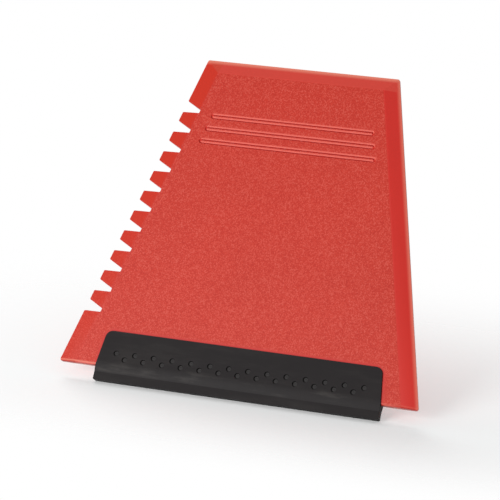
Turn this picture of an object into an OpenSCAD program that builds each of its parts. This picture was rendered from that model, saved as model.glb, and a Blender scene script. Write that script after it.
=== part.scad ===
// Car window ice scraper: a tapered plastic plate with a notched edge,
// a plain scraping edge, three grooved thumb ribs and a rubber squeegee lip.
// Millimetres. X runs along the lip, Y through the thickness, Z up the plate.
// The origin is under the middle of the lip, at its lowest edge.

/* [Plate] */
// Width of the plate at its bottom edge
base_w = 120; // [100:0.5:160]
// Width of the plate at its top edge
top_w = 65.1; // [50:0.1:85]
// Height of the plate, without the lip
plate_h = 105.6; // [85:0.1:140]
// Thickness of the plate
plate_t = 2.6; // [2.2:0.1:3.6]
// Thickness left at the scraping edges
edge_t = 0.8; // [0.5:0.1:1.2]
// Radius of the plate's corners, seen from the front
corner_r = 0.7; // [0.3:0.1:3]
// Radius along the plate's bottom edge, front and back
foot_r = 0.6; // [0.2:0.1:0.6]

/* [Bevels] */
// Width of the bevel along the plain side edge
plain_bevel_w = 4.9; // [3:0.1:7]
// Width of the bevel along the notched side edge
notched_bevel_w = 5.1; // [2:0.1:7]
// Width of the bevel along the top edge
top_bevel_w = 4.15; // [2:0.05:7]

/* [Notches] */
// Distance from one notch to the next, along the edge
notch_pitch = 7.2; // [5.5:0.1:9]
// Distance from the top corner to the first notch's middle
notch_first = 17.1; // [10:0.1:30]
// Least distance from the last notch's middle to the bottom corner
notch_last = 19.5; // [15:0.5:40]
// Width of a notch at its mouth
notch_w = 3.95; // [3:0.05:4.4]
// Width of a notch at its root
notch_root_w = 1.3; // [1:0.05:2]
// Depth of a notch
notch_d = 5.7; // [3:0.1:7]
// Radius of the corners at a notch's root
notch_root_r = 0.35; // [0.1:0.05:0.45]

/* [Ribs] */
// Number of ribs on each face
rib_n = 3; // [1:1:6]
// Distance from one rib to the next
rib_pitch = 4.3; // [3:0.1:8]
// Distance from the top edge to the first rib
rib_first = 19.1; // [12:0.1:30]
// Distance between the middles of the grooves above and below a rib
rib_w = 1.1; // [1.1:0.1:1.8]
// Width of the groove round a rib
groove_w = 0.7; // [0.5:0.05:0.9]
// Depth of the groove round a rib
groove_d = 0.3; // [0.2:0.05:0.4]
// Distance from the groove's end to the plate's side edge
rib_inset = 9.7; // [8:0.1:20]
// How far the ribs sit off the plate's middle, away from the notches
rib_shift = 0.5; // [-1:0.1:1]

/* [Lip] */
// Width of the lip
lip_w = 95.2; // [80:0.1:97]
// How far the lip sits off the plate's middle, away from the notches
lip_shift = 0.5; // [-1:0.1:1]
// Slope of the flaps' ends from upright
flap_end_slope = 7.9; // [0:0.1:20]
// Height of the two flaps that hold the plate
flap_h = 11.65; // [9:0.05:16]
// How far each flap stands out from the plate's face
flap_proud = 0.45; // [0.2:0.05:0.8]
// Radius of a flap's top corners
flap_corner_r = 2.4; // [1:0.1:5]
// Height of the tapered neck under the plate
neck_h = 2; // [1:0.1:4]
// Height of the blade under the neck
blade_h = 2.65; // [2:0.05:8]
// Thickness of the blade
blade_t = 2.4; // [1.6:0.1:3]
// Radius of the blade's two bottom corners, seen from the front
blade_corner_r = 0.4; // [0.3:0.1:2]

/* [Keying] */
// Thickness of the plate's tongue inside the lip
tongue_t = 1.4; // [0.8:0.1:1.4]
// Diameter of the rubber plugs through the tongue
plug_d = 2.2; // [1.6:0.1:3]
// Diameter of the dimple above each plug
dimple_d = 1.8; // [0.8:0.1:2]
// Depth of a dimple
dimple_depth = 0.5; // [0.2:0.05:0.6]
// Distance from one dimple to the next in a row
dimple_pitch = 6.37; // [5:0.01:9]
// Least distance from the last dimple to the lip's end
dimple_end = 5; // [3:0.1:12]
// Height of the lower row above the plate's bottom edge
row_low_z = 2.7; // [2:0.1:4]
// Distance between the two rows
row_gap = 1.8; // [1.5:0.1:4]

/* [Hidden] */
$fn = 48;

plate_z = neck_h + blade_h;
top_z = plate_z + plate_h;
half_base = base_w / 2;
half_top = top_w / 2;
side_lean = atan((half_base - half_top) / plate_h);
side_len = plate_h / cos(side_lean);
notch_n = floor((side_len - notch_first - notch_last) / notch_pitch) + 1;
lip_t = plate_t + 2 * flap_proud;
dimple_n = floor((lip_w - 2 * dimple_end) / dimple_pitch) + 1;
// how far a cutting shape runs past the face that it cuts
past = 1;

// unit vector from a to b
function toward(a, b) = (b - a) / norm(b - a);
// half the angle between the two sides that meet at corner p
function half_angle(p, a, b) = acos(toward(p, a) * toward(p, b)) / 2;
// centre of the circle of radius r that touches both sides at corner p
function corner_centre(p, a, b, r) =
    p + toward([0, 0], toward(p, a) + toward(p, b)) * r / sin(half_angle(p, a, b));
// the two points where that circle touches the sides
function corner_ends(p, a, b, r) =
    let (back = r / tan(half_angle(p, a, b)))
    [p + toward(p, a) * back, p + toward(p, b) * back];

// a flat outline whose corners have the radius r, or each its own if r is a list
module rounded_outline(points, r) {
    n = len(points);
    function radius(i) = is_list(r) ? r[i] : r;
    function before(i) = points[(i + n - 1) % n];
    function after(i) = points[(i + 1) % n];
    polygon([for (i = [0:n - 1]) each corner_ends(points[i], before(i), after(i), radius(i))]);
    for (i = [0:n - 1])
        translate(corner_centre(points[i], before(i), after(i), radius(i))) circle(radius(i));
}

// turns a flat shape drawn in X and Z into a slab of thickness t about the middle plane
module slab(t) {
    rotate([90, 0, 0]) translate([0, 0, -t / 2]) linear_extrude(t) children();
}

// turns a flat shape drawn in Y and Z into a bar along X about the middle
module bar(length) {
    rotate([90, 0, 90]) translate([0, 0, -length / 2]) linear_extrude(length) children();
}

module plate_outline() {
    rounded_outline(
        [[half_base, plate_z], [half_top, top_z], [-half_top, top_z], [-half_base, plate_z]],
        corner_r);
}

// space outside the bevel of one edge, which runs up Z from the origin with the plate at +X
module bevel_cut(w, length) {
    rise = (plate_t - edge_t) / 2 * past / w;
    for (side = [-1, 1])
        translate([0, 0, -length / 2]) linear_extrude(2 * length)
            polygon([
                [-past, side * (edge_t / 2 - rise)],
                [w + past, side * (plate_t / 2 + rise)],
                [w + past, side * plate_t],
                [-past, side * plate_t]]);
}

// one notch, cut into an edge that runs along Y, with the plate at +X
module notch_shape() {
    mouth = notch_w / 2 + past * (notch_w - notch_root_w) / 2 / notch_d;
    rounded_outline(
        [[-past, -mouth], [notch_d, -notch_root_w / 2], [notch_d, notch_root_w / 2], [-past, mouth]],
        notch_root_r);
}

module notches() {
    translate([-half_top, 0, top_z]) rotate([0, side_lean, 0]) mirror([0, 0, 1])
        for (i = [0:notch_n - 1])
            translate([0, 0, notch_first + i * notch_pitch])
                slab(2 * plate_t) notch_shape();
}

// a flat bar with round ends: reach is from its middle to the middle of an end
module pill(reach, r) {
    square([2 * reach, 2 * r], center = true);
    for (end = [-1, 1]) translate([end * reach, 0]) circle(r);
}

// the groove that runs right round one rib, cut into each face, with the rib
// at a height z above the plate's bottom edge
module rib_groove(z) {
    reach = half_base - z * tan(side_lean) - rib_inset - (rib_w + groove_w) / 2;
    for (side = [-1, 1])
        translate([rib_shift, side * plate_t / 2, plate_z + z])
            slab(2 * groove_d)
                difference() {
                    pill(reach, (rib_w + groove_w) / 2);
                    pill(reach, (rib_w - groove_w) / 2);
                }
}

// where the plugs are: the upper row has dimple_n, the lower one fewer, half a pitch over
function plug_places() = [
    for (row = [0, 1])
        let (n = dimple_n - 1 + row)
        for (i = [0:n - 1])
            [lip_shift + (i - (n - 1) / 2) * dimple_pitch, plate_z + row_low_z + row * row_gap]
];

// a round bar through the thickness at every plug position
module plugs(d, t) {
    for (place = plug_places())
        translate([place[0], 0, place[1]]) rotate([90, 0, 0]) cylinder(d = d, h = t, center = true);
}

// front view of the lip, down to z_low: upright ends below the plate, sloping ends beside it
module lip_outline(z_low) {
    half_low = lip_w / 2;
    half_high = half_low - flap_h * tan(flap_end_slope);
    flap_z = plate_z + flap_h;
    translate([lip_shift, 0])
        rounded_outline(
            [[half_low, z_low], [half_low, plate_z], [half_high, flap_z],
             [-half_high, flap_z], [-half_low, plate_z], [-half_low, z_low]],
            [blade_corner_r, foot_r, flap_corner_r, flap_corner_r, foot_r, blade_corner_r]);
}

// end profile of the lip: flaps, tapered neck and blade
module lip_profile() {
    polygon([
        [lip_t / 2, plate_z + flap_h], [lip_t / 2, plate_z],
        [blade_t / 2, blade_h], [blade_t / 2, 0], [-blade_t / 2, 0],
        [-blade_t / 2, blade_h], [-lip_t / 2, plate_z], [-lip_t / 2, plate_z + flap_h]]);
}

// the pockets that the two flaps fill, one on each face of the tongue
module flap_pockets() {
    for (side = [-1, 1])
        translate([0, side * (tongue_t / 2 + plate_t / 2), 0])
            slab(plate_t) lip_outline(-lip_t);
}

// end profile of the plate, with its lower edges rounded
module foot_profile() {
    translate([-plate_t / 2, foot_r]) square([plate_t, plate_h]);
    translate([foot_r - plate_t / 2, 0]) square([plate_t - 2 * foot_r, plate_h]);
    for (side = [-1, 1]) translate([side * (plate_t / 2 - foot_r), foot_r]) circle(foot_r);
}

module scraper_plate() {
    color([0.82, 0.26, 0.21])
        difference() {
            intersection() {
                slab(plate_t) plate_outline();
                translate([0, 0, plate_z]) bar(2 * base_w) foot_profile();
            }
            translate([half_base, 0, plate_z]) rotate([0, -side_lean, 0]) mirror([1, 0, 0])
                bevel_cut(plain_bevel_w, side_len);
            translate([-half_base, 0, plate_z]) rotate([0, side_lean, 0])
                bevel_cut(notched_bevel_w, side_len);
            translate([-half_top, 0, top_z]) rotate([0, 90, 0])
                bevel_cut(top_bevel_w, top_w);
            notches();
            flap_pockets();
            plugs(plug_d, 2 * plate_t);
            for (i = [0:rib_n - 1]) rib_groove(plate_h - rib_first - i * rib_pitch);
        }
}

module squeegee_lip() {
    color([0.11, 0.11, 0.11])
        difference() {
            intersection() {
                slab(2 * lip_t) lip_outline(0);
                bar(base_w) lip_profile();
            }
            difference() {
                translate([-half_base, -tongue_t / 2, plate_z]) cube([base_w, tongue_t, plate_h]);
                plugs(plug_d, 2 * plate_t);
            }
            for (side = [-1, 1])
                translate([0, side * lip_t / 2, 0]) plugs(dimple_d, 2 * dimple_depth);
        }
}

scraper_plate();
squeegee_lip();
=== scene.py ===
import math

import bmesh
import bpy
from mathutils import Matrix, Vector


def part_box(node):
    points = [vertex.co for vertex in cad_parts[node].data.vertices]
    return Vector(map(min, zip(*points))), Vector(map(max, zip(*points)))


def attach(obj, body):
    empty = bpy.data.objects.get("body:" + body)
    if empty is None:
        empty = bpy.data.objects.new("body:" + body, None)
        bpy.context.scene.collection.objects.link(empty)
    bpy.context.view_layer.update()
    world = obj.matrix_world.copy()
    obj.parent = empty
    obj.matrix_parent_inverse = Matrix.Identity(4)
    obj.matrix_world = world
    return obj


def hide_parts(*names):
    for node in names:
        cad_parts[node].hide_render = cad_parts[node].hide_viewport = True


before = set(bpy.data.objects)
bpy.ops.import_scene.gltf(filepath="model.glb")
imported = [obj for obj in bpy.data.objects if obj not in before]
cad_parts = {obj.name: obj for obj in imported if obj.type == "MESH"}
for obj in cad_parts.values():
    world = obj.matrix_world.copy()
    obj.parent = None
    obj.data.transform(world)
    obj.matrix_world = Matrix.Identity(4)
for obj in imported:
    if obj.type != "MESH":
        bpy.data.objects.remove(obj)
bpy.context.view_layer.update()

mm = 0.001

# sizes are in millimetres and degrees
plateLook = {
    "baseWidth": 120.0,
    "topWidth": 65.1,
    "edgeThickness": 0.8,
    "plainBevel": 4.9,
    "notchedBevel": 5.1,
    "topBevel": 4.15,
    "cornerRadius": 0.7,
    "footRadius": 0.6,
    "rimRadius": 0.16,  # softened rim all round the plate
    "seam": 0.05,  # gap between the plate and the rubber
}
lipLook = {
    "width": 95.2,
    "offCentre": 0.5,
    "endSlope": 7.9,
    "flapHeight": 11.65,
    "flapProud": 0.45,
    "flapCorner": 2.4,
    "bendRadius": 13.0,  # soft turn from flap to neck
    "neckHeight": 2.0,
    "bladeThickness": 2.4,
    "bladeCorner": 0.4,
    "tongueThickness": 1.4,
    "rimRadius": 0.2,
}
dimpleLook = {
    "pitch": 6.37,
    "upperCount": 14,
    "lowRow": 2.7,
    "rowGap": 1.8,
    "radius": 0.86,
    "depth": 0.5,
    "flare": 0.08,
    "crown": 0.05,  # raised middle of a dimple's floor
}

plateLow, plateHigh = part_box("scraper_plate")
lipLow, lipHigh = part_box("squeegee_lip")
footZ = plateLow.z / mm
topZ = plateHigh.z / mm
plateHeight = topZ - footZ
lipThickness = (lipHigh.y - lipLow.y) / mm
plateThickness = lipThickness - 2 * lipLook["flapProud"]
halfBase = plateLook["baseWidth"] / 2
halfTop = plateLook["topWidth"] / 2
sideLean = math.atan((halfBase - halfTop) / plateHeight)
print("frame: plate %.1f mm high and %.2f mm thick" % (plateHeight, plateThickness))


# shapes are in millimetres until finishMesh scales them
def roundedOutline(points, radii, steps=6):
    outline = []
    count = len(points)
    for i, corner in enumerate(points):
        if radii[i] <= 0:
            outline.append(Vector(corner))
            continue
        corner = Vector(corner)
        before = (Vector(points[i - 1]) - corner).normalized()
        after = (Vector(points[(i + 1) % count]) - corner).normalized()
        half = before.angle(after) / 2
        centre = corner + (before + after).normalized() * radii[i] / math.sin(half)
        start = corner + before * radii[i] / math.tan(half) - centre
        end = corner + after * radii[i] / math.tan(half) - centre
        turn = start.angle_signed(end)
        for k in range(steps + 1):
            angle = -turn * k / steps
            outline.append(centre + Vector((
                start.x * math.cos(angle) - start.y * math.sin(angle),
                start.x * math.sin(angle) + start.y * math.cos(angle))))
    return outline


def addPrism(mesh, outline, low, high):
    # outline is in X and Z, low and high are along Y
    rings = [[mesh.verts.new((p[0], y, p[1])) for p in outline] for y in (low, high)]
    mesh.faces.new(rings[0])
    mesh.faces.new(rings[1][::-1])
    for i in range(len(outline)):
        j = (i + 1) % len(outline)
        mesh.faces.new((rings[0][j], rings[0][i], rings[1][i], rings[1][j]))
    bmesh.ops.recalc_face_normals(mesh, faces=mesh.faces)


def cutAway(mesh, point, normal):
    # removes what lies on the normal's side of a plane and closes the cut
    found = bmesh.ops.bisect_plane(
        mesh, geom=mesh.verts[:] + mesh.edges[:] + mesh.faces[:], dist=1e-5,
        plane_co=point, plane_no=normal, clear_outer=True)
    edges = [g for g in found["geom_cut"] if isinstance(g, bmesh.types.BMEdge)]
    openEdges = [e for e in edges if e.is_valid and len(e.link_faces) == 1]
    if openEdges:
        bmesh.ops.edgeloop_fill(mesh, edges=openEdges)


def newObject(name, mesh):
    bmesh.ops.recalc_face_normals(mesh, faces=mesh.faces)
    data = bpy.data.meshes.new(name)
    mesh.to_mesh(data)
    mesh.free()
    piece = bpy.data.objects.new(name, data)
    bpy.context.scene.collection.objects.link(piece)
    return piece


def plainMesh(piece):
    # the evaluated mesh replaces the piece's own, and its modifiers go
    graph = bpy.context.evaluated_depsgraph_get()
    data = bpy.data.meshes.new_from_object(piece.evaluated_get(graph))
    piece.modifiers.clear()
    old = piece.data
    piece.data = data
    bpy.data.meshes.remove(old)
    return piece


def softenRims(piece, width, segments=3):
    rounding = piece.modifiers.new("rims", "BEVEL")
    rounding.width = width
    rounding.segments = segments
    rounding.limit_method = "ANGLE"
    rounding.angle_limit = math.radians(28)
    rounding.use_clamp_overlap = True
    return plainMesh(piece)


def finishMesh(piece, creaseArea=3.0, creaseAngle=4.0, sharpAngle=42.0):
    # scales to metres, marks creases between broad faces and weights the normals by area
    mesh = bmesh.new()
    mesh.from_mesh(piece.data)
    bmesh.ops.remove_doubles(mesh, verts=mesh.verts, dist=0.002)
    bmesh.ops.dissolve_degenerate(mesh, edges=mesh.edges, dist=0.001)
    for face in mesh.faces:
        face.smooth = True
    for edge in mesh.edges:
        if len(edge.link_faces) != 2:
            continue
        angle = math.degrees(edge.calc_face_angle(0))
        broad = min(f.calc_area() for f in edge.link_faces) > creaseArea
        edge.smooth = not (angle > sharpAngle or (broad and angle > creaseAngle))
    bmesh.ops.scale(mesh, vec=(mm, mm, mm), verts=mesh.verts)
    mesh.to_mesh(piece.data)
    mesh.free()
    weighting = piece.modifiers.new("weights", "WEIGHTED_NORMAL")
    weighting.keep_sharp = True
    weighting.weight = 90
    splitting = piece.modifiers.new("splits", "TRIANGULATE")
    splitting.min_vertices = 5
    splitting.keep_custom_normals = True
    return plainMesh(piece)


class NodeLink:
    def __init__(self, maker, node, output=0):
        self.maker, self.node, self.socket = maker, node, node.outputs[output]

    def at(self, output):
        return NodeLink(self.maker, self.node, output)

    def calc(self, operation, *others):
        values = dict(enumerate((self,) + others))
        return self.maker.add("ShaderNodeMath", {"operation": operation}, values)

    def __add__(self, other):
        return self.calc("ADD", other)

    def __sub__(self, other):
        return self.calc("SUBTRACT", other)

    def __mul__(self, other):
        return self.calc("MULTIPLY", other)

    def __rsub__(self, other):
        return self.calc("MULTIPLY", -1.0) + other

    __radd__ = __add__
    __rmul__ = __mul__

    def largest(self, other):
        return self.calc("MAXIMUM", other)

    def ramp(self, low, high):
        # 0 below low, 1 above high, smooth between
        return self.maker.add(
            "ShaderNodeMapRange", {"interpolation_type": "SMOOTHSTEP"},
            {0: self, 1: low, 2: high, 3: 0.0, 4: 1.0})

    def fade(self, low, high):
        # a ramp whose ends are given in millimetres
        return self.ramp(low * mm, high * mm)


class NodeMaker:
    def __init__(self, tree):
        self.tree = tree

    def feed(self, socket, value):
        if isinstance(value, NodeLink):
            self.tree.links.new(value.socket, socket)
        elif isinstance(value, (list, tuple)) and value and isinstance(value[0], NodeLink):
            for one in value:
                self.tree.links.new(one.socket, socket)
        else:
            socket.default_value = value

    def add(self, kind, settings=None, values=None, output=0):
        node = self.tree.nodes.new(kind)
        for name, value in (settings or {}).items():
            setattr(node, name, value)
        for key, value in (values or {}).items():
            self.feed(node.inputs[key], value)
        return NodeLink(self, node, output)

    def mixColor(self, amount, first, second):
        return self.add(
            "ShaderNodeMix", {"data_type": "RGBA"}, {0: amount, 6: first, 7: second}, 2)

    def noise(self, place, size, detail=2.0, roughness=0.5):
        # size is in millimetres
        return self.add(
            "ShaderNodeTexNoise", {"noise_dimensions": "3D"},
            {"Vector": place, "Scale": 1 / (size * mm), "Detail": detail, "Roughness": roughness})


def rgba(color):
    return (*color, 1.0)


# repeats a cutting tool along a line and cuts the copies from a piece
def makeRepeatTree():
    tree = bpy.data.node_groups.new("repeatCuts", "GeometryNodeTree")
    sockets = {}
    for label, side, kind in (
            ("Geometry", "INPUT", "NodeSocketGeometry"), ("Tool", "INPUT", "NodeSocketObject"),
            ("Count", "INPUT", "NodeSocketInt"), ("Start", "INPUT", "NodeSocketVector"),
            ("Step", "INPUT", "NodeSocketVector"), ("Growth", "INPUT", "NodeSocketFloat"),
            ("Material", "INPUT", "NodeSocketMaterial"), ("Geometry", "OUTPUT", "NodeSocketGeometry")):
        item = tree.interface.new_socket(name=label, in_out=side, socket_type=kind)
        if side == "INPUT":
            sockets[label] = item.identifier
    make = NodeMaker(tree)
    given = make.add("NodeGroupInput")
    line = make.add("GeometryNodeMeshLine", {"mode": "OFFSET"}, {
        "Count": given.at("Count"), "Start Location": given.at("Start"),
        "Offset": given.at("Step")})
    tool = make.add("GeometryNodeObjectInfo", {"transform_space": "ORIGINAL"},
                    {"Object": given.at("Tool")}, "Geometry")
    stretch = make.add("GeometryNodeInputIndex") * given.at("Growth") + 1.0
    size = make.add("ShaderNodeCombineXYZ", None, {0: stretch, 1: 1.0, 2: 1.0})
    copies = make.add("GeometryNodeInstanceOnPoints", None, {
        "Points": line, "Instance": tool, "Scale": size})
    solid = make.add("GeometryNodeRealizeInstances", None, {"Geometry": copies})
    joined = make.add("GeometryNodeMeshBoolean", {"operation": "DIFFERENCE", "solver": "EXACT"},
                      {0: given.at("Geometry"), 1: [solid]})
    whole = make.add("GeometryNodeRealizeInstances", None, {"Geometry": joined})
    finished = make.add("GeometryNodeSetMaterial", None, {
        "Geometry": whole, "Material": given.at("Material")})
    out = tree.nodes.new("NodeGroupOutput")
    tree.links.new(finished.socket, out.inputs[0])
    return tree, sockets


repeatTree, repeatSockets = makeRepeatTree()


def cutRow(piece, tool, count, start, step, material, growth=0.0):
    modifier = piece.modifiers.new("repeat", "NODES")
    modifier.node_group = repeatTree
    for label, value in (("Tool", tool), ("Count", count), ("Start", start), ("Step", step),
                         ("Growth", growth), ("Material", material)):
        modifier[repeatSockets[label]] = value
    plainMesh(piece)
    bpy.data.objects.remove(tool)


def newMaterial(name):
    material = bpy.data.materials.new(name)
    material.use_nodes = True
    material.node_tree.nodes.clear()
    return material, NodeMaker(material.node_tree)


def closeMaterial(make, shader):
    out = make.tree.nodes.new("ShaderNodeOutputMaterial")
    make.tree.links.new(shader.socket, out.inputs["Surface"])


redLook = {
    "face": (0.58, 0.023, 0.006),
    "bevel": (0.63, 0.024, 0.015),
    # painted light: the pale glow through the thin edges, also used for the painted highlight along
    # the foot
    "paintedEdgeLight": (0.80, 0.22, 0.15),
    # painted shade on the underside of the foot
    "under": (0.30, 0.030, 0.022),
    "grooveHighlight": (0.82, 0.150, 0.105),  # painted highlight on the upper wall of a groove
    "grooveShade": (0.40, 0.009, 0.004),  # painted shade on the lower wall of a groove
    "paleFleck": (0.74, 0.130, 0.095),
    "darkFleck": (0.43, 0.010, 0.004),
    "grain": 0.36,  # sizes of the moulded grain and of slower changes, in millimetres
    "coarseGrain": 1.9,
    "cloud": 26.0,
    "paleShare": (0.47, 0.66),  # the grain's values where pale and dark flecks set in
    "darkShare": (0.34, 0.53),
    "wallStrength": 0.9,
    "grainDepth": 0.026,
    "fleckStrength": 0.5,
    "faceRoughness": 0.46,
    "bevelRoughness": 0.34,
}


def flapDistance(x, z):
    # how far a place lies outside the flap's rounded outline
    slope = math.tan(math.radians(lipLook["endSlope"]))
    corner = lipLook["flapCorner"] * mm
    across = (x - lipLook["offCentre"] * mm).calc("ABSOLUTE") - lipLook["width"] / 2 * mm
    pastSide = (across + (z - footZ * mm) * slope + corner).largest(0.0)
    pastTop = (z - (footZ + lipLook["flapHeight"]) * mm + corner).largest(0.0)
    return (pastSide * pastSide + pastTop * pastTop).calc("SQRT") - corner


def plateZones(split):
    # masks from 0 to 1: the grained face, the grooves, the notched bevel and the painted light on the
    # thin edges and the top bevel
    x, z, depth = split, split.at(2), split.at(1).calc("ABSOLUTE")
    half = plateThickness / 2
    rise = (z - footZ * mm) * math.sin(sideLean)
    right = (halfBase * mm - x) * math.cos(sideLean) - rise
    left = (x + halfBase * mm) * math.cos(sideLean) - rise
    top = topZ * mm - z
    notchedBevel, topBevel = plateLook["notchedBevel"], plateLook["topBevel"]
    plainBevel = plateLook["plainBevel"]
    notched = 1.0 - left.fade(notchedBevel + 0.1, notchedBevel + 0.6)
    plain = 1.0 - right.fade(plainBevel + 0.1, plainBevel + 0.6)
    upper = 1.0 - top.fade(topBevel + 0.1, topBevel + 0.4)
    bare = flapDistance(x, z).fade(0.3, 1.3)  # a smooth strip runs round the flap
    field = (1.0 - notched) * (1.0 - plain) * (1.0 - upper) * bare
    face = (depth.fade(half - 0.07, half - 0.01) * field).largest(
        notched * (1.0 - z.fade(10, 80)) * 0.7)
    groove = (1.0 - depth.fade(half - 0.10, half - 0.015)) * field
    mitre = (left * (topBevel / notchedBevel) - top).fade(-0.3, 0.3)
    # painted light: the thin right and top edges pale as if lit through, and the top bevel a little
    # paler as a face turned up
    thin = ((1.0 - right.fade(-0.1, 1.4)) * 0.7).largest(1.0 - top.fade(0.1, 1.9))
    return face, groove, notched, thin.largest(upper * mitre * 0.14)


def makeRed():
    material, make = newMaterial("redPlastic")
    place = make.add("ShaderNodeTexCoord", None, None, "Object")
    split = make.add("ShaderNodeSeparateXYZ", None, {0: place})
    face, groove, notched, thin = plateZones(split)
    grain = make.noise(place, redLook["grain"], roughness=0.6)
    coarse = make.noise(place, redLook["coarseGrain"])
    cloud = make.noise(place, redLook["cloud"])
    flecks = grain * 0.88 + coarse * 0.12
    pale = flecks.ramp(*redLook["paleShare"]) * face * redLook["fleckStrength"]
    dark = (1.0 - flecks.ramp(*redLook["darkShare"])) * face * redLook["fleckStrength"]
    tone = make.mixColor(face.largest(notched), rgba(redLook["bevel"]), rgba(redLook["face"]))
    tone = make.mixColor(pale, tone, rgba(redLook["paleFleck"]))
    tone = make.mixColor(dark, tone, rgba(redLook["darkFleck"]))
    shade = (cloud - 0.5) * 0.10 + 1.0
    tone = make.add("ShaderNodeVectorMath", {"operation": "SCALE"}, {0: tone, "Scale": shade})
    # painted light on the thin edges and the top bevel
    tone = make.mixColor(thin, tone, rgba(redLook["paintedEdgeLight"]))
    facing = make.add("ShaderNodeSeparateXYZ", None, {
        0: make.add("ShaderNodeNewGeometry").at("Normal")})
    tilt = facing.at(2) * -0.85 - facing * 0.5  # above 0 on the upper wall, below 0 on the lower
    # painted light: the upper walls of the grooves get a pale painted highlight and the lower walls a
    # dark painted shade, chosen by the normal's tilt
    grooveLit = groove * tilt.ramp(0.02, 0.5) * redLook["wallStrength"]
    grooveShaded = groove * (tilt * -1.0).ramp(0.02, 0.45) * redLook["wallStrength"]
    tone = make.mixColor(grooveLit, tone, rgba(redLook["grooveHighlight"]))
    tone = make.mixColor(grooveShaded, tone, rgba(redLook["grooveShade"]))
    foot = split.at(2) - footZ * mm
    line = foot.fade(0.2, 0.5) * (1.0 - foot.fade(0.6, 1.0))  # painted highlight along the foot's rounded front edge, stronger to the left
    tone = make.mixColor(line * (0.75 - split.fade(-60, 20) * 0.55), tone, rgba(redLook["paintedEdgeLight"]))
    # painted shade on the underside of the foot
    tone = make.mixColor((1.0 - foot.fade(0.02, 0.3)) * 0.7, tone, rgba(redLook["under"]))
    height = (grain * face) * (redLook["grainDepth"] * mm)
    bump = make.add("ShaderNodeBump", None, {"Strength": 1.0, "Distance": 1.0, "Height": height})
    rough = face * (redLook["faceRoughness"] - redLook["bevelRoughness"]) + redLook["bevelRoughness"]
    shader = make.add("ShaderNodeBsdfPrincipled", None, {
        "Base Color": tone, "Roughness": rough, "Normal": bump, "IOR": 1.5,
        "Specular IOR Level": 0.4})
    closeMaterial(make, shader)
    return material


rubberLook = {
    "color": (0.0125, 0.0098, 0.0103),
    "dust": (0.060, 0.054, 0.050),
    # lighter speckled dimple floors: dust, and a painted glint of reflected light
    "pitDustAndGlint": (0.040, 0.037, 0.037),
    # painted shade on the walls of each dimple
    "pitWallShade": (0.002, 0.002, 0.002),
    "cutEnd": (0.002, 0.002, 0.002),
    "dustBand": (2.6, 3.6, 4.6, 7.4),  # heights where dust sets in and where it is gone
    "streak": 3.2,  # sizes of the wiped streaks, of slower changes and of the pores
    "cloud": 14.0,
    "pore": 0.35,
    "poreDepth": 0.006,
    "roughness": 0.5,
}


def makeRubber():
    material, make = newMaterial("blackRubber")
    place = make.add("ShaderNodeTexCoord", None, None, "Object")
    split = make.add("ShaderNodeSeparateXYZ", None, {0: place})
    z, depth = split.at(2), split.at(1).calc("ABSOLUTE")
    stretched = make.add("ShaderNodeMapping", None, {0: place, "Scale": (0.18, 1.0, 1.0)})
    streaks = make.noise(stretched, rubberLook["streak"], 4.0, 0.62)
    cloud = make.noise(place, rubberLook["cloud"], 3.0, 0.55)
    fine = make.noise(place, rubberLook["pore"], roughness=0.6)
    band = rubberLook["dustBand"]
    neck = z.fade(*band[:2]) * (1.0 - z.fade(*band[2:]))
    dust = streaks.ramp(0.46, 0.72) * (neck * 0.55 + 0.12) + cloud.ramp(0.45, 0.8) * 0.10
    tone = make.mixColor(dust, rgba(rubberLook["color"]), rgba(rubberLook["dust"]))
    half = lipThickness / 2
    flap = z.fade(footZ + 1.3, footZ + 1.5)  # above the neck, where the dimples are
    floor = half - dimpleLook["depth"]  # how far a dimple's floor is from the lip's middle
    pit = (1.0 - depth.fade(floor + 0.04, floor + 0.14)) * flap
    # dimple floors painted lighter with speckles: dust, and a painted glint of reflected light
    tone = make.mixColor(pit * (0.4 + 0.6 * fine), tone, rgba(rubberLook["pitDustAndGlint"]))
    # painted shade on the walls of each dimple
    wall = (1.0 - depth.fade(half - 0.1, half - 0.03)) * depth.fade(floor + 0.03, floor + 0.1) * flap
    tone = make.mixColor(wall * 0.9, tone, rgba(rubberLook["pitWallShade"]))
    across = (split - lipLook["offCentre"] * mm).calc("ABSOLUTE") - lipLook["width"] / 2 * mm
    cut = across.fade(-0.2, -0.06) * (1.0 - z.fade(footZ - 0.3, footZ + 0.3))
    tone = make.mixColor(cut, tone, rgba(rubberLook["cutEnd"]))
    rough = cloud * 0.16 + (rubberLook["roughness"] - 0.08)
    bump = make.add("ShaderNodeBump", None, {
        "Strength": 1.0, "Distance": 1.0, "Height": fine * (rubberLook["poreDepth"] * mm)})
    shader = make.add("ShaderNodeBsdfPrincipled", None, {
        "Base Color": tone, "Roughness": rough, "Normal": bump, "IOR": 1.45,
        "Specular IOR Level": 0.2})
    closeMaterial(make, shader)
    return material


redPlastic = makeRed()
blackRubber = makeRubber()
print("materials made")


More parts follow.
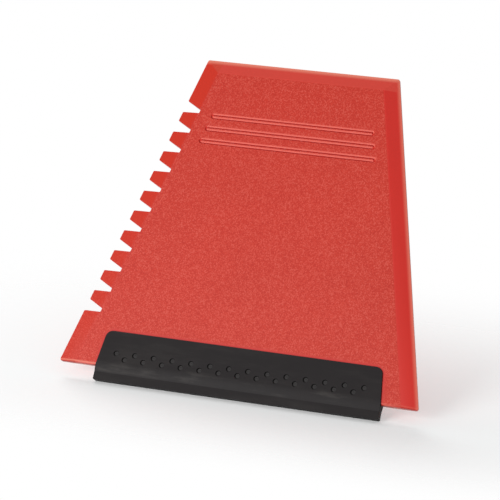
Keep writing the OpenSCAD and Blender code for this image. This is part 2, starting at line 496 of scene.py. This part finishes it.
def plateBlank():
    mesh = bmesh.new()
    outline = roundedOutline(
        [(halfBase, footZ), (halfTop, topZ), (-halfTop, topZ), (-halfBase, footZ)],
        [plateLook["cornerRadius"]] * 4)
    half = plateThickness / 2
    addPrism(mesh, outline, -half, half)
    edge = plateLook["edgeThickness"] / 2
    cos, sin = math.cos(sideLean), math.sin(sideLean)
    sides = (
        (Vector((halfBase, 0, footZ)), Vector((cos, 0, sin)), plateLook["plainBevel"]),
        (Vector((-halfBase, 0, footZ)), Vector((-cos, 0, sin)), plateLook["notchedBevel"]),
        (Vector((0, 0, topZ)), Vector((0, 0, 1)), plateLook["topBevel"]))
    for place, outward, width in sides:
        for face in (-1, 1):
            tilt = math.atan((half - edge) / width)
            normal = outward * math.sin(tilt) + Vector((0, face, 0)) * math.cos(tilt)
            cutAway(mesh, place + Vector((0, face * edge, 0)), normal)
    radius, steps = plateLook["footRadius"], 6
    for face in (-1, 1):
        centre = Vector((0, face * (half - radius), footZ + radius))
        for k in range(steps):
            angle = math.radians(90) * (k + 0.5) / steps
            normal = Vector((0, face * math.cos(angle), -math.sin(angle)))
            cutAway(mesh, centre + normal * radius, normal)
    return newObject("scraperPlate", mesh)


def lipOutline(grow=0.0, low=0.0):
    half = lipLook["width"] / 2 + grow
    flapTop = footZ + lipLook["flapHeight"] + grow
    high = half - (lipLook["flapHeight"] + grow) * math.tan(math.radians(lipLook["endSlope"]))
    shift = lipLook["offCentre"]
    points = [(half, low), (half, footZ), (high, flapTop),
              (-high, flapTop), (-half, footZ), (-half, low)]
    points = [(x + shift, z) for x, z in points]
    corner, foot = lipLook["flapCorner"] + grow, lipLook["bladeCorner"]
    return roundedOutline(points, [foot, 0, corner, corner, 0, foot], 10)


def flapPockets():
    mesh = bmesh.new()
    outline = lipOutline(plateLook["seam"], -lipThickness)  # starts below the lip
    inner = lipLook["tongueThickness"] / 2
    for face in (-1, 1):
        addPrism(mesh, outline, *sorted((face * inner, face * plateThickness)))
    return newObject("flapPockets", mesh)


notchLook = {
    "pitch": 7.2,
    "first": 17.1,
    "count": 11,
    "mouth": 3.95,
    "root": 1.3,
    "depth": 5.7,
    "rootRadius": 0.35,
    "tipRadius": 0.35,
}


def notchTool():
    # across the thickness at the first notch's place, ready to be repeated down the edge
    mouth, root, depth = notchLook["mouth"] / 2, notchLook["root"] / 2, notchLook["depth"]
    tip = notchLook["tipRadius"]
    flank = math.atan((mouth - root) / depth)
    reach = tip * math.tan((math.pi / 2 - flank) / 2)
    lower = []
    for k in range(7):
        angle = (math.pi / 2 - flank) * k / 6
        lower.append((tip - tip * math.cos(angle), -(mouth + reach) + tip * math.sin(angle)))
    roots = roundedOutline([(0, -mouth), (depth, -root), (depth, root), (0, mouth)],
                           [0, notchLook["rootRadius"], notchLook["rootRadius"], 0])[1:-1]
    shape = [(-1.0, -(mouth + reach))] + lower + [tuple(p) for p in roots]
    shape += [(d, -s) for d, s in lower[::-1]] + [(-1.0, mouth + reach)]
    inward = Vector((math.cos(sideLean), -math.sin(sideLean)))
    along = Vector((-math.sin(sideLean), -math.cos(sideLean)))
    mesh = bmesh.new()
    addPrism(mesh, [inward * d + along * s for d, s in shape], -plateThickness, plateThickness)
    return newObject("notchTool", mesh), along


ribLook = {
    "count": 3,
    "pitch": 4.3,
    "fromTop": 19.1,
    "ribWidth": 1.1,  # between the middles of the grooves above and below
    "grooveWidth": 0.95,
    "grooveDepth": 0.32,
    "flare": 0.05,  # softened edge of a groove, on each side
    "inset": 9.7,
    "offCentre": 0.5,
}


def ribTool(halfLength):
    # a groove that runs round one rib, on the front and on the back
    width, depth = ribLook["grooveWidth"], ribLook["grooveDepth"]
    bend = ribLook["ribWidth"] / 2
    straight = halfLength - bend - width / 2
    line = []
    for side in (1, -1):
        for k in range(13):
            angle = math.radians(90 - 180 * k / 12)
            outward = Vector((math.cos(angle), math.sin(angle))) * side
            line.append((Vector((side * straight, 0)) + outward * bend, outward))
    reach = width / 2 + ribLook["flare"]
    section = [(reach * t, depth * (0.5 + 0.5 * math.cos(math.pi * t)))
               for t in (k / 7 - 1 for k in range(15))]
    section += [(reach, -0.3), (-reach, -0.3)]
    mesh = bmesh.new()
    for face in (-1, 1):
        rings = [[mesh.verts.new((p.x + out.x * s, face * (plateThickness / 2 - h), p.y + out.y * s))
                  for s, h in section] for p, out in line]
        for i in range(len(rings)):
            after = rings[(i + 1) % len(rings)]
            for j in range(len(section)):
                k = (j + 1) % len(section)
                mesh.faces.new((rings[i][j], rings[i][k], after[k], after[j]))
    return newObject("ribTool", mesh)


def makePlate():
    piece = plateBlank()
    cutRow(piece, flapPockets(), 1, (0, 0, 0), (0, 0, 0), redPlastic)
    tool, along = notchTool()
    start = Vector((-halfTop, 0, topZ)) + Vector((along.x, 0, along.y)) * notchLook["first"]
    step = Vector((along.x, 0, along.y)) * notchLook["pitch"]
    cutRow(piece, tool, notchLook["count"], start, step, redPlastic)
    softenRims(piece, plateLook["rimRadius"])
    ribZ = topZ - ribLook["fromTop"]
    halfLength = halfTop + ribLook["fromTop"] * math.tan(sideLean) - ribLook["inset"]
    growth = ribLook["pitch"] * math.tan(sideLean) / halfLength
    cutRow(piece, ribTool(halfLength), ribLook["count"], (ribLook["offCentre"], 0, ribZ),
           (0, 0, -ribLook["pitch"]), redPlastic, growth)
    return finishMesh(piece)


def lipBlank():
    half, blade = lipThickness / 2, lipLook["bladeThickness"] / 2
    neckZ = footZ - lipLook["neckHeight"]
    taper = math.atan((half - blade) / lipLook["neckHeight"])
    radius = lipLook["bendRadius"]
    reach = radius * math.tan(taper / 2)
    turns = [taper * k / 8 for k in range(9)]
    bend = [(half - radius * (1 - math.cos(a)), footZ + reach - radius * math.sin(a)) for a in turns]
    flapTop = footZ + lipLook["flapHeight"]
    inner = lipLook["tongueThickness"] / 2
    right = [(inner, footZ), (inner, flapTop), (half, flapTop)] + bend + [(blade, neckZ), (blade, 0)]
    profile = right + [(-y, z) for y, z in right[::-1]]
    length = lipLook["width"]
    mesh = bmesh.new()
    rings = [[mesh.verts.new((x, y, z)) for y, z in profile] for x in (-length, length)]
    mesh.faces.new(rings[0])
    mesh.faces.new(rings[1][::-1])
    for i in range(len(profile)):
        j = (i + 1) % len(profile)
        mesh.faces.new((rings[0][j], rings[0][i], rings[1][i], rings[1][j]))
    bmesh.ops.recalc_face_normals(mesh, faces=mesh.faces)
    outline = lipOutline()
    for i, p in enumerate(outline):
        q = outline[(i + 1) % len(outline)]
        way = q - p
        if abs(way.y) < 1e-6:
            continue
        normal = Vector((way.y, 0, -way.x)).normalized()
        cutAway(mesh, Vector((p.x, 0, p.y)), normal)
    return newObject("squeegeeLip", mesh)


def dimpleTool():
    # a turned cutter for the front and its twin for the back, with a flared rim and a crowned floor
    radius, depth = dimpleLook["radius"], dimpleLook["depth"]
    flare, crown = dimpleLook["flare"], dimpleLook["crown"]
    section = [(radius + flare, -0.3), (radius + flare, 0.0), (radius + flare * 0.45, flare * 0.35),
               (radius, flare), (radius * 0.94, depth - 0.14), (radius * 0.84, depth - 0.04),
               (radius * 0.66, depth), (radius * 0.4, depth - crown * 0.7), (0.0, depth - crown)]
    mesh = bmesh.new()
    turns = 24
    for face in (-1, 1):
        rings = []
        for r, deep in section:
            y = face * (lipThickness / 2 - deep)
            if r == 0:
                rings.append([mesh.verts.new((0, y, 0))])
                continue
            rings.append([mesh.verts.new((r * math.cos(a), y, r * math.sin(a)))
                          for a in (2 * math.pi * k / turns for k in range(turns))])
        mesh.faces.new(rings[0])
        for low, high in zip(rings, rings[1:]):
            for k in range(turns):
                n = (k + 1) % turns
                corners = [low[k], low[n]] + ([high[0]] if len(high) == 1 else [high[n], high[k]])
                mesh.faces.new(corners)
    return newObject("dimpleTool", mesh)


def makeLip():
    piece = lipBlank()
    softenRims(piece, lipLook["rimRadius"])
    for row in (0, 1):
        count = dimpleLook["upperCount"] - 1 + row
        z = footZ + dimpleLook["lowRow"] + row * dimpleLook["rowGap"]
        start = (lipLook["offCentre"] - (count - 1) / 2 * dimpleLook["pitch"], 0, z)
        cutRow(piece, dimpleTool(), count, start, (dimpleLook["pitch"], 0, 0), blackRubber)
    return finishMesh(piece)


scraperPlate = makePlate()
print("plate made: %d faces" % len(scraperPlate.data.polygons))
squeegeeLip = makeLip()
print("lip made: %d faces" % len(squeegeeLip.data.polygons))
for piece, node, slot in ((scraperPlate, "scraper_plate", "red_plastic"),
                          (squeegeeLip, "squeegee_lip", "black_rubber")):
    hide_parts(node)
    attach(piece, "root")


floorLook = {
    "lean": 35.52,  # the scraper leans back by this much from the floor's upright
    "halfWidth": 700.0,
    "front": 420.0,
    "back": 150.0,
    "fade": (15.0, 130.0),  # the camera sees the floor near the foot only, then plain white
    "color": (0.97, 0.98, 0.98),
    "opacity": 0.78,
}


def makeFloor():
    lean = math.radians(floorLook["lean"])
    back = Vector((0, math.cos(lean), math.sin(lean)))
    contact = Vector((0, lipLook["bladeThickness"] / 2, 0))
    mesh = bmesh.new()
    corners = [contact + Vector((x, 0, 0)) + back * b for x, b in (
        (-floorLook["halfWidth"], -floorLook["front"]), (floorLook["halfWidth"], -floorLook["front"]),
        (floorLook["halfWidth"], floorLook["back"]), (-floorLook["halfWidth"], floorLook["back"]))]
    mesh.faces.new([mesh.verts.new(c * mm) for c in corners])
    floor = newObject("floor", mesh)
    if floor.data.polygons[0].normal.z < 0:
        floor.data.flip_normals()
    material, make = newMaterial("paperFloor")
    place = make.add("ShaderNodeTexCoord", None, None, "Object")
    split = make.add("ShaderNodeSeparateXYZ", None, {0: place})
    along = (split.at(1) - contact.y * mm) * back.y + split.at(2) * back.z
    beside = (split.calc("ABSOLUTE") - plateLook["baseWidth"] / 2 * mm).largest(0.0)
    beyond = along.largest(along * -2.4)
    away = (beside * beside + beyond * beyond).calc("SQRT")
    near, far = floorLook["fade"]
    pool = (1.0 - away.fade(near, far)) * floorLook["opacity"]
    watched = make.add("ShaderNodeLightPath", None, None, "Is Camera Ray")
    seen = 1.0 - (1.0 - pool) * watched
    facing = 1.0 - make.add("ShaderNodeNewGeometry", None, None, "Backfacing")
    paper = make.add("ShaderNodeBsdfDiffuse", None, {"Color": rgba(floorLook["color"])})
    clear = make.add("ShaderNodeBsdfTransparent")
    shader = make.add("ShaderNodeMixShader", None, {0: seen * facing, 1: clear, 2: paper})
    closeMaterial(make, shader)
    floor.data.materials.append(material)


worldLook = {"light": 0.42, "shown": 1.0}


def makeWorld():
    world = bpy.data.worlds.new("studio")
    bpy.context.scene.world = world
    world.use_nodes = True
    world.node_tree.nodes.clear()
    make = NodeMaker(world.node_tree)
    ray = make.add("ShaderNodeLightPath")
    shown = ray.at("Is Camera Ray").largest(ray.at("Is Transmission Ray"))
    strength = shown * (worldLook["shown"] - worldLook["light"]) + worldLook["light"]
    sky = make.add("ShaderNodeBackground", None, {"Color": (1, 1, 1, 1), "Strength": strength})
    out = world.node_tree.nodes.new("ShaderNodeOutputWorld")
    world.node_tree.links.new(sky.socket, out.inputs["Surface"])


# places are in the floor's own directions: right, back and up from the foot of the lip
lampLook = {
    "keyBox": {"place": (-430, -860, 380), "size": 560, "watts": 7.0},
    "backBox": {"place": (-480, 700, 700), "size": 640, "watts": 6.0},
}


def makeLamps():
    lean = math.radians(floorLook["lean"])
    back = Vector((0, math.cos(lean), math.sin(lean)))
    up = Vector((0, -math.sin(lean), math.cos(lean)))
    for name, look in lampLook.items():
        lamp = bpy.data.lights.new(name, "AREA")
        lamp.shape = "SQUARE"
        lamp.size = look["size"] * mm
        lamp.energy = look["watts"]
        right, behind, height = look["place"]
        place = (Vector((right, 0, 0)) + back * behind + up * height) * mm
        holder = bpy.data.objects.new(name, lamp)
        bpy.context.scene.collection.objects.link(holder)
        aim = (Vector((0, 0, 50)) * mm - place).to_track_quat("-Z", "Y")
        holder.matrix_world = Matrix.Translation(place) @ aim.to_matrix().to_4x4()


cameraLook = {
    "lens": 210.04,
    "distance": 923.3,
    "aim": (-4.62, 0.0, 48.55),
    "azimuth": 20.2,
    "elevation": -14.19,
    "roll": 12.26,
    "shift": (-0.001, 0.001),
}


def makeCamera():
    azimuth, elevation = math.radians(cameraLook["azimuth"]), math.radians(cameraLook["elevation"])
    away = Vector((math.sin(azimuth) * math.cos(elevation), -math.cos(azimuth) * math.cos(elevation),
                   math.sin(elevation)))
    data = bpy.data.cameras.new("camera")
    data.lens = cameraLook["lens"]
    data.sensor_width = 36.0
    data.shift_x, data.shift_y = cameraLook["shift"]
    data.clip_start = 0.05
    data.clip_end = 20.0
    camera = bpy.data.objects.new("camera", data)
    bpy.context.scene.collection.objects.link(camera)
    place = (Vector(cameraLook["aim"]) + away * cameraLook["distance"]) * mm
    turn = (-away).to_track_quat("-Z", "Y").to_matrix().to_4x4()
    roll = Matrix.Rotation(math.radians(cameraLook["roll"]), 4, "Z")
    camera.matrix_world = Matrix.Translation(place) @ turn @ roll
    bpy.context.scene.camera = camera


makeFloor()
makeWorld()
makeLamps()
makeCamera()
bpy.context.scene.view_settings.view_transform = "Standard"
print("stage, lamps and camera made")
